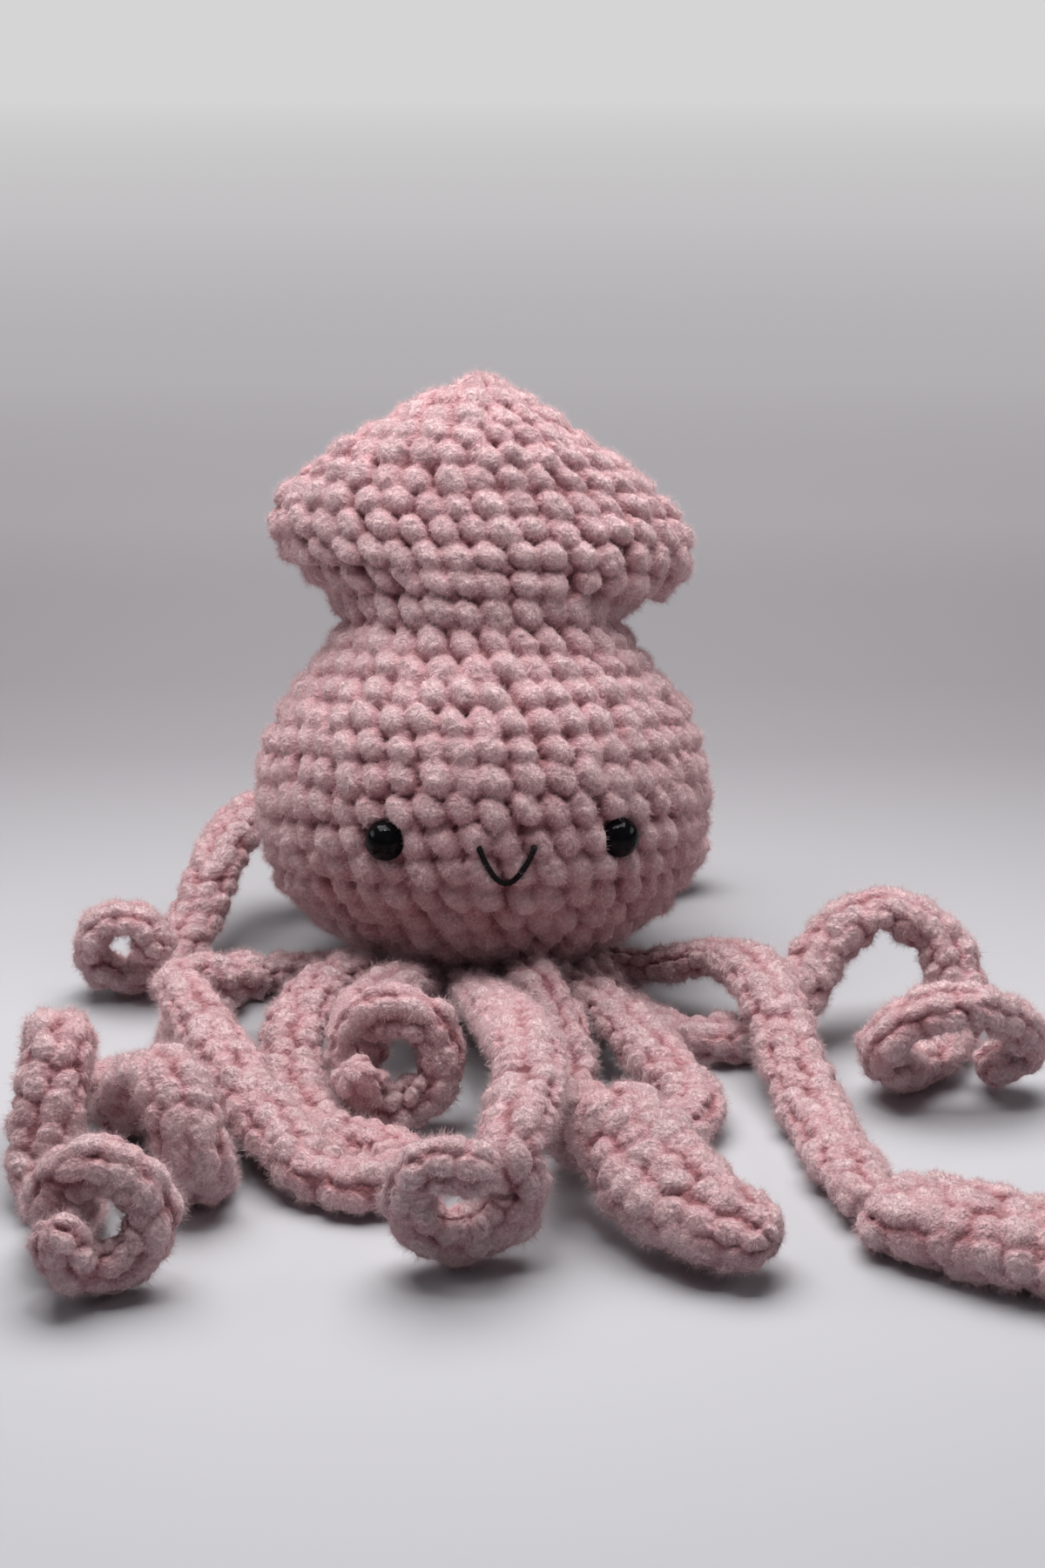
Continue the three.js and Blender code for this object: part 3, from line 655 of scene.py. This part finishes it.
def make_body(material):
    """The body's skin of stitches, with beds for the eyes, the mouth and the limbs."""
    rings, shares, where, rows = body_rings()
    row_of = np.repeat(where[:, None], BODY_SIDES, axis=1)
    share_of = np.repeat(shares[None], len(where), axis=0)
    girth = np.linalg.norm(np.roll(rings, -1, axis=1) - rings, axis=2).sum(axis=1)
    middles = np.interp(np.arange(rows) + 0.5, where, girth)
    counts = np.maximum(FEWEST_STITCHES, np.round(middles / BODY_STITCH[0])).astype(int)
    stagger = BODY_STAGGER * np.arange(rows)
    wave = BODY_WAVE * pile(rings, BODY_WAVE_SIZE, BODY_WAVE_SEED)
    crown, tone = stitch_relief(row_of + wave, share_of, counts, BODY_STITCH, BODY_REACH, BODY_STITCH_SEED,
                                stagger, BODY_SLANTS, [0], BODY_SPREAD)
    normals = grid_normals(rings)
    full = blend(1, FIN_CROWN_SHARE, smoothstep(row_of / rows, *FIN_CROWN_FADE))
    amount = full * BODY_CROWN * (crown - 1 + BODY_OUTSIDE)
    amount = amount + pile_relief(rings, crown, BODY_CLUMP, BODY_PILE_SEED)
    for seat, direction in eye_seats.values():
        amount = press(rings, amount, seat, direction, **EYE_BED)
    for place, direction in mouth_path():
        amount = press(rings, amount, place, direction, **MOUTH_BED)
    for azimuth, height, _, _ in LIMBS.values():
        seat, direction = head_surface(azimuth, height)
        amount = press(rings, amount, seat, direction, **ROOT_BED)
    rings = rings + normals * amount[..., None]
    rings[..., 2] = np.maximum(rings[..., 2], FLOOR_CLEARANCE)
    bottom = np.append(rings[0, :, :2].mean(axis=0), FLOOR_CLEARANCE)
    tip = rings[-1].mean(axis=0) + BODY_AXIS * TIP_RISE
    return make_piece("body_crochet", bottom, rings, tip, material, {"crown": crown, "tone": tone})


# Limb forms

def point(x, y, z=LYING, heading=None, tilt=0):
    """A place of a route. The strip lies level there, or its width points along a heading and tilt."""
    if heading is None:
        return [((x, y, z), None)]
    level = np.array([math.cos(math.radians(heading)), math.sin(math.radians(heading)), 0])
    across = level * math.cos(math.radians(tilt)) + UP * math.sin(math.radians(tilt))
    return [((x, y, z), across)]


def curl(x, y, heading, radius, pitch, start, turns, end_radius=None, flat=False):
    """A helix of strip that rests on the floor, over the strip's broad face where it is flat."""
    end_radius = radius if end_radius is None else end_radius
    along = np.array([math.cos(math.radians(heading)), math.sin(math.radians(heading)), 0])
    side = np.array([-along[1], along[0], 0])
    reach = STRIP_THICKNESS / 2 if flat else CURL_STRIP / 2
    height = max(radius, end_radius) + reach + FLOOR_GAP
    count = round(abs(turns) * POINTS_PER_TURN)
    places = []
    for index in range(count + 1):
        share = index / count
        angle = math.radians(start + 360 * turns * share)
        out = math.cos(angle) * side + math.sin(angle) * UP
        middle = np.array([x, y, height]) + along * pitch * abs(turns) * share
        at = middle + out * blend(radius, end_radius, share)
        places.append((tuple(at), along if flat else out))
    return places


# Each limb: its root's angle round the body, the root's height up it, its club's length and its route
LIMBS = {
    "arm_front_left": (246, 20, 0, [
        point(-28, -66, 30), point(-40, -84, 28),
        curl(-26, -102, heading=270, radius=14, end_radius=13, pitch=21, start=190, turns=-1),
    ]),
    "arm_front_middle": (265, 20, 0, [
        point(0, -68, 26), point(8.5, -100, 33), point(14, -134, 42), point(17, -166, 41),
        curl(-3, -196, heading=270, radius=16, end_radius=12.5, pitch=20, start=30, turns=-0.88),
    ]),
    "arm_front_right": (284, 20, 0, [
        point(19, -63, 30), point(28, -80, 22), point(31, -97, 11), point(29, -112), point(26, -126),
    ]),
    "tentacle_front": (303, 20, 78, [
        point(44, -67, 22), point(57, -87, 15), point(67, -105, 10), point(69, -122), point(57, -135),
        curl(41, -143, heading=270, radius=10.5, pitch=24, start=270, turns=-0.5, flat=True),
        point(48, -171, 22.5, 218, -28), point(58, -189, 17.5, 222, -24), point(70, -202, 15.5, 225, -20),
        point(81, -209, 14, 225, -14),
    ]),
    "arm_right": (323, 22, 0, [
        point(58, -54, 9), point(79, -64), point(97, -60, 8.5), point(110, -51, 17), point(123, -40, 33),
        point(142, -34, 43), point(161, -37, 35), point(168, -52, 18), point(159, -72, 9, 250),
        point(144, -87, 9.5, 265), point(135, -96, 19, 270), point(143, -100, 31, 270),
        point(161, -99, 36, 270), point(178, -96, 29, 270), point(184, -91, 17, 270),
        point(175, -89, 9.5, 270),
    ]),
    "tentacle_right": (342, 22, 82, [
        point(66, -20, 17), point(87, -33, 25), point(99, -58, 25.5), point(105, -90, 14),
        point(110, -120), point(115, -152), point(120, -176), point(130, -192, 10),
        point(147, -202, 11.2), point(167, -213, 11.2), point(186, -223, 11.2),
    ]),
    "arm_rear_right": (45, 34, 0, [
        point(58, 78, 9),
        curl(50, 106, heading=330, radius=15.5, end_radius=13, pitch=27, start=270, turns=1.2, flat=True),
    ]),
    "arm_rear_left": (140, 34, 0, [
        point(-62, 70, 14), point(-74, 80, 32), point(-91, 69, 44), point(-103, 42, 35),
        point(-111, 18, 17), point(-119, 2, 9),
        curl(-131, -6, heading=270, radius=12, pitch=15, start=290, turns=-0.75, flat=True),
    ]),
    "arm_left": (196, 22, 0, [
        point(-70, -6, 8), point(-92, -14), point(-102, -44), point(-98, -84), point(-91, -118),
        point(-88, -144), point(-85, -168, 9), point(-85, -175, 23, 10), point(-93, -163, 41, 25),
        point(-104, -147, 33, 28), point(-111, -132, 15), point(-114, -113, 8), point(-123, -101, 8),
        point(-134, -105, 9), point(-137, -117, 22, 170), point(-131, -135, 42, 170),
        point(-132, -152, 29, 170), point(-133, -164, 12, 170), point(-123, -178),
        curl(-106, -204, heading=275, radius=13, end_radius=12.2, pitch=21, start=185, turns=-1),
    ]),
    "arm_left_fore": (218, 22, 0, [
        point(-45, -48, 26), point(-56, -64, 27), point(-63, -90, 18), point(-58, -117, 9),
        point(-46, -138), point(-30, -147), point(-20, -157), point(-30, -168), point(-45, -164, 8),
        point(-61, -148, 14), point(-79, -122, 24), point(-97, -86, 31), point(-102, -66, 31),
        point(-82, -54, 28),
    ]),
}


def centre_line(azimuth, height, route):
    """A limb's centre line, with the run along it and the direction across the strip at each place."""
    seat, normal = head_surface(azimuth, height)
    root = seat + normal * (STRIP_THICKNESS / 2 + ROOT_GAP)
    knots = [(tuple(root), None)] + [knot for stretch in route for knot in stretch]
    at = np.array([knot[0] for knot in knots])
    across = []
    for index, (_, stated) in enumerate(knots):
        level = np.cross(at[min(index + 1, len(at) - 1)] - at[max(index - 1, 0)], UP)
        wide = unit(level) if stated is None else np.array(stated)
        if across and wide @ across[-1] < 0:
            wide = -wide
        across.append(wide)
    places, knot_of = catmull(at, PER_SPAN)
    sideways = read_at(knot_of, np.arange(len(at)), np.array(across))
    return places, run_along(places), sideways


def stations(line, start, end):
    """Even stations along a stretch of a centre line: place, along, across and through the strip."""
    places, run, sideways = line
    where = np.linspace(start, end, max(3, int(round((end - start) / LIMB_STEP)) + 1))
    at = read_at(where, run, places)
    ahead = read_at(np.minimum(where + HEADING_REACH, run[-1]), run, places)
    behind = read_at(np.maximum(where - HEADING_REACH, 0), run, places)
    along = unit(ahead - behind)
    steps = np.linspace(-TWIST_REACH, TWIST_REACH, TWIST_STEPS)
    across = np.mean([read_at(np.clip(where + step, 0, run[-1]), run, sideways) for step in steps], axis=0)
    across = unit(across - np.sum(across * along, axis=1)[:, None] * along)
    return where, at, along, across, np.cross(along, across)


def arm_size(length, taper, where):
    """Half width and half thickness of a strip along its run, narrower at the root and towards the tip."""
    root = smoothstep(where, 0, ROOT_SWELL)
    tip = smoothstep(length - where, 0, taper["reach"])
    wide = blend(ROOT_WIDTH, STRIP_WIDTH, root) / 2 * blend(taper["wide"], 1, tip)
    return wide, STRIP_THICKNESS / 2 * blend(taper["thick"], 1, tip)


def club_size(length, club, where):
    """Half width and half thickness of a club along its limb's run."""
    share = (where - length + club) / club
    swell = np.sin(np.pi * np.clip(CLUB_SWELL_START + CLUB_SWELL_SPAN * share, 0, 1))
    wide = blend(STRIP_WIDTH / 2 * CLUB_NECK_WIDTH_SHARE, CLUB_WIDTH / 2, swell)
    thick = blend(STRIP_THICKNESS / 2 * CLUB_NECK_THICKNESS_SHARE, CLUB_THICKNESS / 2, swell)
    return wide, thick


def section(wide, thick, sides):
    """Even points round the strip's section, from the edge on the across side."""
    turn = np.linspace(0, 2 * np.pi, PER_LIMB_SIDE * sides + 1)
    x = np.sign(np.cos(turn)) * np.abs(np.cos(turn)) ** SECTION_SQUARENESS * wide
    y = np.sign(np.sin(turn)) * np.abs(np.sin(turn)) ** SECTION_SQUARENESS * thick
    run = run_along(np.column_stack([x, y]))
    return read_at(np.linspace(0, run[-1], sides, endpoint=False), run, np.column_stack([x, y]))


def make_strip(name, line, start, end, size_at, columns, stitch, sides, seed, material):
    """One stitched strip along a stretch of a centre line, round at both ends."""
    where, at, along, across, through = stations(line, start, end)
    wide, thick = size_at(where)
    angles = np.linspace(0, np.pi / 2, CAP_RINGS + 1)[1:-1]
    turned = np.concatenate([angles, np.full(len(where), np.pi / 2), angles[::-1]])
    ends = [np.zeros(len(angles)), np.arange(len(where)), np.full(len(angles), len(where) - 1)]
    index = np.concatenate(ends).astype(int)
    side_of_end = np.concatenate([-np.ones(len(angles)), np.zeros(len(where)), np.ones(len(angles))])
    shift = side_of_end * thick[index] * np.cos(turned)
    rings = []
    for place, off, grow in zip(index, shift, np.sin(turned)):
        flat = section(wide[place], thick[place], sides) * grow
        centre = at[place] + along[place] * off
        rings.append(centre + flat[:, :1] * across[place] + flat[:, 1:] * through[place])
    rings = np.array(rings)
    run = where[index] + side_of_end * thick[index] * (np.pi / 2 - turned)
    run = run - run[0]
    rows = int(round(run[-1] / stitch[1]))
    row_of = np.repeat((run * rows / run[-1])[:, None], sides, axis=1)
    share_of = np.repeat((np.arange(sides) / sides + 0.5 / columns)[None], len(run), axis=0) % 1
    stagger = LIMB_STAGGER * np.sin(np.arange(rows) * LIMB_STAGGER_STEP + seed)
    wave = LIMB_WAVE * pile(rings, LIMB_WAVE_SIZE, seed)
    crown, tone = stitch_relief(row_of + wave, share_of, np.full(rows, columns), stitch, LIMB_REACH, seed,
                                stagger, LIMB_SLANTS, LIMB_LIFTS, LIMB_SPREAD)
    crown = blend(CAP_CROWN, crown, smoothstep(np.sin(turned), *CAP_FADE)[:, None])
    normals = grid_normals(rings)
    bend = np.gradient(along, axis=0) / LIMB_STEP
    hollow = np.sum(normals * bend[index][:, None], axis=2) * BEND_RADIUS
    amount = LIMB_CROWN * (crown - 1 + LIMB_OUTSIDE) + pile_relief(rings, crown, LIMB_CLUMP, seed)
    slimmer = smoothstep(where[index], *ROOT_CAP) * (1 - smoothstep(where[index], *ROOT_STRETCH))
    amount = amount - ROOT_PRESS * slimmer[:, None]
    rings = rings + normals * (amount - BEND_PRESS * smoothstep(hollow, *BEND_FADE))[..., None]
    rings[..., 2] = np.maximum(rings[..., 2], FLOOR_CLEARANCE)
    first = at[0] - along[0] * thick[0]
    last = at[-1] + along[-1] * thick[-1]
    return make_piece(name, first, rings, last, material, {"crown": crown, "tone": tone})


def dress(piece, body, slot, *nodes):
    """Puts a piece on a body in place of its solids."""
    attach(piece, body)
    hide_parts(*nodes)
    return piece


def make_limbs(material):
    """Every limb, and the club of those that have one."""
    for number, (name, (azimuth, height, club, route)) in enumerate(LIMBS.items()):
        line = centre_line(azimuth, height, route)
        length = line[1][-1]
        stalk = length - club
        taper = STALK_TAPER if club else ARM_TAPER
        piece = make_strip(f"{name}_crochet", line, 0, stalk, lambda where: arm_size(stalk, taper, where),
                           LIMB_COLUMNS, LIMB_STITCH, LIMB_SIDES, LIMB_SEED + number, material)
        dress(piece, name, "chenille", name)
        if club:
            neck = arm_size(stalk, taper, stalk)[1] + HINGE_GAP
            begin = stalk + neck + club_size(length, club, stalk)[1]
            tip = make_strip(f"{name}_club_crochet", line, begin, length,
                             lambda where: club_size(length, club, where),
                             CLUB_COLUMNS, CLUB_STITCH, CLUB_SIDES, CLUB_SEED + number, material)
            dress(tip, f"{name}_club", "chenille", f"{name}_club")


# Face

eye_seats = {
    "left": head_surface(FRONT + FACE_TURN - EYE_SPREAD, EYE_HEIGHT),
    "right": head_surface(FRONT + FACE_TURN + EYE_SPREAD, EYE_HEIGHT),
}


def ring_frame(direction):
    one = unit(np.cross(direction, UP))
    return one, np.cross(direction, one)


def make_eye(name, seat, direction, material):
    """A domed safety eye with a small rounded rim, seated in the stitches."""
    one, two = ring_frame(direction)
    radius = EYE_DIAMETER / 2
    angles = np.radians(np.linspace(0, DOME_TOP, DOME_STEPS))
    profile = [(radius * share, rise) for share, rise in RIM_PROFILE]
    profile += [(radius * math.cos(a), EYE_RIM + (EYE_DOME - EYE_RIM) * math.sin(a)) for a in angles]
    turn = np.linspace(0, 2 * np.pi, EYE_SIDES, endpoint=False)[:, None]
    rings = []
    for out, rise in profile:
        centre = seat + direction * (rise - EYE_SUNK)
        rings.append(centre + out * (np.cos(turn) * one + np.sin(turn) * two))
    back = seat - direction * EYE_SUNK
    front = seat + direction * (EYE_DOME - EYE_SUNK)
    return make_piece(name, back, np.array(rings), front, material, {})


def make_mouth(material):
    """A smile of thick two-ply thread that dips into the stitches at both ends."""
    seats = mouth_path()
    places = [seats[0][0] - seats[0][1] * MOUTH_TAIL]
    places += [place + direction * MOUTH_STAND for place, direction in seats]
    places += [seats[-1][0] - seats[-1][1] * MOUTH_TAIL]
    curve, _ = catmull(places, MOUTH_PER_SPAN)
    run = run_along(curve)
    where = np.linspace(0, run[-1], int(run[-1] / THREAD_STEP))
    at = read_at(where, run, curve)
    along = unit(np.gradient(at, axis=0))
    outward = unit(seats[len(seats) // 2][1])
    one = unit(np.cross(along, outward))
    two = np.cross(along, one)
    turn = np.linspace(0, 2 * np.pi, THREAD_SIDES, endpoint=False)
    lay = 2 * np.pi * where[:, None] / THREAD_LAY
    reach = THREAD_DIAMETER / 2 * (PLY_CORE + PLY_BULGE * np.abs(np.cos(turn[None] - lay)))
    rings = at[:, None] + reach[..., None] * (np.cos(turn)[None, :, None] * one[:, None]
                                              + np.sin(turn)[None, :, None] * two[:, None])
    return make_piece("mouth_smile", at[0], rings[:, ::-1], at[-1], material, {})


# Fibres

def fibre_shares(piece):
    """How full the pile is at each point: short in the gaps, none beside the eyes and the mouth."""
    mesh = piece.data
    count = len(mesh.vertices)
    crown = np.zeros(count, np.float32)
    mesh.attributes["crown"].data.foreach_get("value", crown)
    places = np.zeros(count * 3, np.float32)
    mesh.vertices.foreach_get("co", places)
    places = places.reshape(-1, 3) / MM
    bare_crown, full_crown = FIBRE_CROWNS
    share = np.clip((crown - bare_crown) / (full_crown - bare_crown), FIBRE_LEAST, 1)
    bare = [(seat, EYE_DIAMETER / 2) for seat, _ in eye_seats.values()]
    bare += [(place, THREAD_DIAMETER / 2) for place, _ in mouth_path()]
    for place, reach in bare:
        share[np.linalg.norm(places - place, axis=1) < reach + BARE_MARGIN] = 0
    return share


def add_fibres(piece, material, seed):
    """Short loose fibres over a yarn piece, in a second material."""
    area = sum(face.area for face in piece.data.polygons) / MM ** 2
    piece.data.materials.append(material)
    group = piece.vertex_groups.new(name="fullness")
    levels = np.round(fibre_shares(piece) * FULLNESS_STEPS).astype(int)
    for level in range(1, FULLNESS_STEPS + 1):
        group.add(np.flatnonzero(levels == level).tolist(), level / FULLNESS_STEPS, "REPLACE")
    piece.modifiers.new("fibres", "PARTICLE_SYSTEM")
    system = piece.particle_systems[-1]
    system.seed = seed
    system.vertex_group_density = group.name
    system.vertex_group_length = group.name
    settings = system.settings
    settings.type = "HAIR"
    settings.material = len(piece.data.materials)
    settings.count = int(area * FIBRES)
    settings.hair_step = FIBRE_STEPS
    settings.display_step = FIBRE_STEPS
    settings.render_step = FIBRE_STEPS
    settings.use_advanced_hair = True
    settings.hair_length = FIBRE_LENGTH * MM
    settings.factor_random = FIBRE_STRAY * MM
    settings.length_random = FIBRE_UNEVEN
    settings.root_radius = FIBRE_ROOT
    settings.tip_radius = FIBRE_TIP
    settings.radius_scale = MM


# Stage, light and camera

def make_stage():
    mesh = bpy.data.meshes.new("stage_floor")
    signs = [(-1, -1), (1, -1), (1, 1), (-1, 1)]
    corners = [(PAPER_REACH * x, PAPER_REACH * y, 0) for x, y in signs]
    mesh.from_pydata(corners, [], [(0, 1, 2, 3)])
    floor = bpy.data.objects.new("stage_floor", mesh)
    bpy.context.scene.collection.objects.link(floor)
    mesh.materials.append(paper_material())


def add_area_light(name, place, target, size, power, colour, beam=180):
    light = bpy.data.lights.new(name, "AREA")
    light.shape = "RECTANGLE"
    light.size, light.size_y = size
    light.energy = power
    light.spread = math.radians(beam)
    light.color = colour
    lamp = bpy.data.objects.new(name, light)
    bpy.context.scene.collection.objects.link(lamp)
    lamp.location = place
    lamp.visible_camera = False
    lamp.rotation_euler = (Vector(target) - Vector(place)).to_track_quat("-Z", "Y").to_euler()


def make_light():
    world = bpy.data.worlds.new("studio")
    bpy.context.scene.world = world
    world.use_nodes = True
    background = world.node_tree.nodes["Background"]
    set_inputs(background, {"Color": WORLD_COLOUR, "Strength": WORLD_STRENGTH})
    for name, light in LIGHTS.items():
        add_area_light(name, **light)


def make_camera():
    data = bpy.data.cameras.new("photo_camera")
    data.sensor_fit = "VERTICAL"
    data.sensor_height = SENSOR_HEIGHT
    data.lens = SENSOR_HEIGHT * FOCAL_LENGTH / PHOTO_HEIGHT
    camera = bpy.data.objects.new("photo_camera", data)
    bpy.context.scene.collection.objects.link(camera)
    camera.location = CAMERA_PLACE
    camera.rotation_euler = (math.radians(90 - CAMERA_TILT), 0, 0)
    bpy.context.scene.camera = camera


make_camera()
make_stage()
make_light()
bpy.context.scene.view_settings.view_transform = "Standard"

yarn = chenille_material()
body = dress(make_body(yarn), "body", "chenille", "body_skin", "head_filling", "mantle_filling")
make_limbs(yarn)

black_plastic = plastic_material("black_plastic", colour=(0.004, 0.004, 0.005), roughness=0.04, gloss=0.1)
for side, (seat, direction) in eye_seats.items():
    eye = make_eye(f"eye_dome_{side}", seat, direction, black_plastic)
    dress(eye, "body", "black_plastic", f"eye_{side}")
smile = make_mouth(thread_material())
dress(smile, "body", "black_thread", "mouth_thread")
white_plastic = plastic_material("white_plastic", colour=(0.8, 0.77, 0.72), roughness=0.3, gloss=0.35)
for side in eye_seats:
    washer = frame["nodes"][f"eye_washer_{side}"]
    washer.data.materials.clear()
    washer.data.materials.append(white_plastic)

fibres = fibre_material()
for number, piece in enumerate([thing for thing in bpy.data.objects if thing.name.endswith("_crochet")]):
    add_fibres(piece, fibres, number + 1)
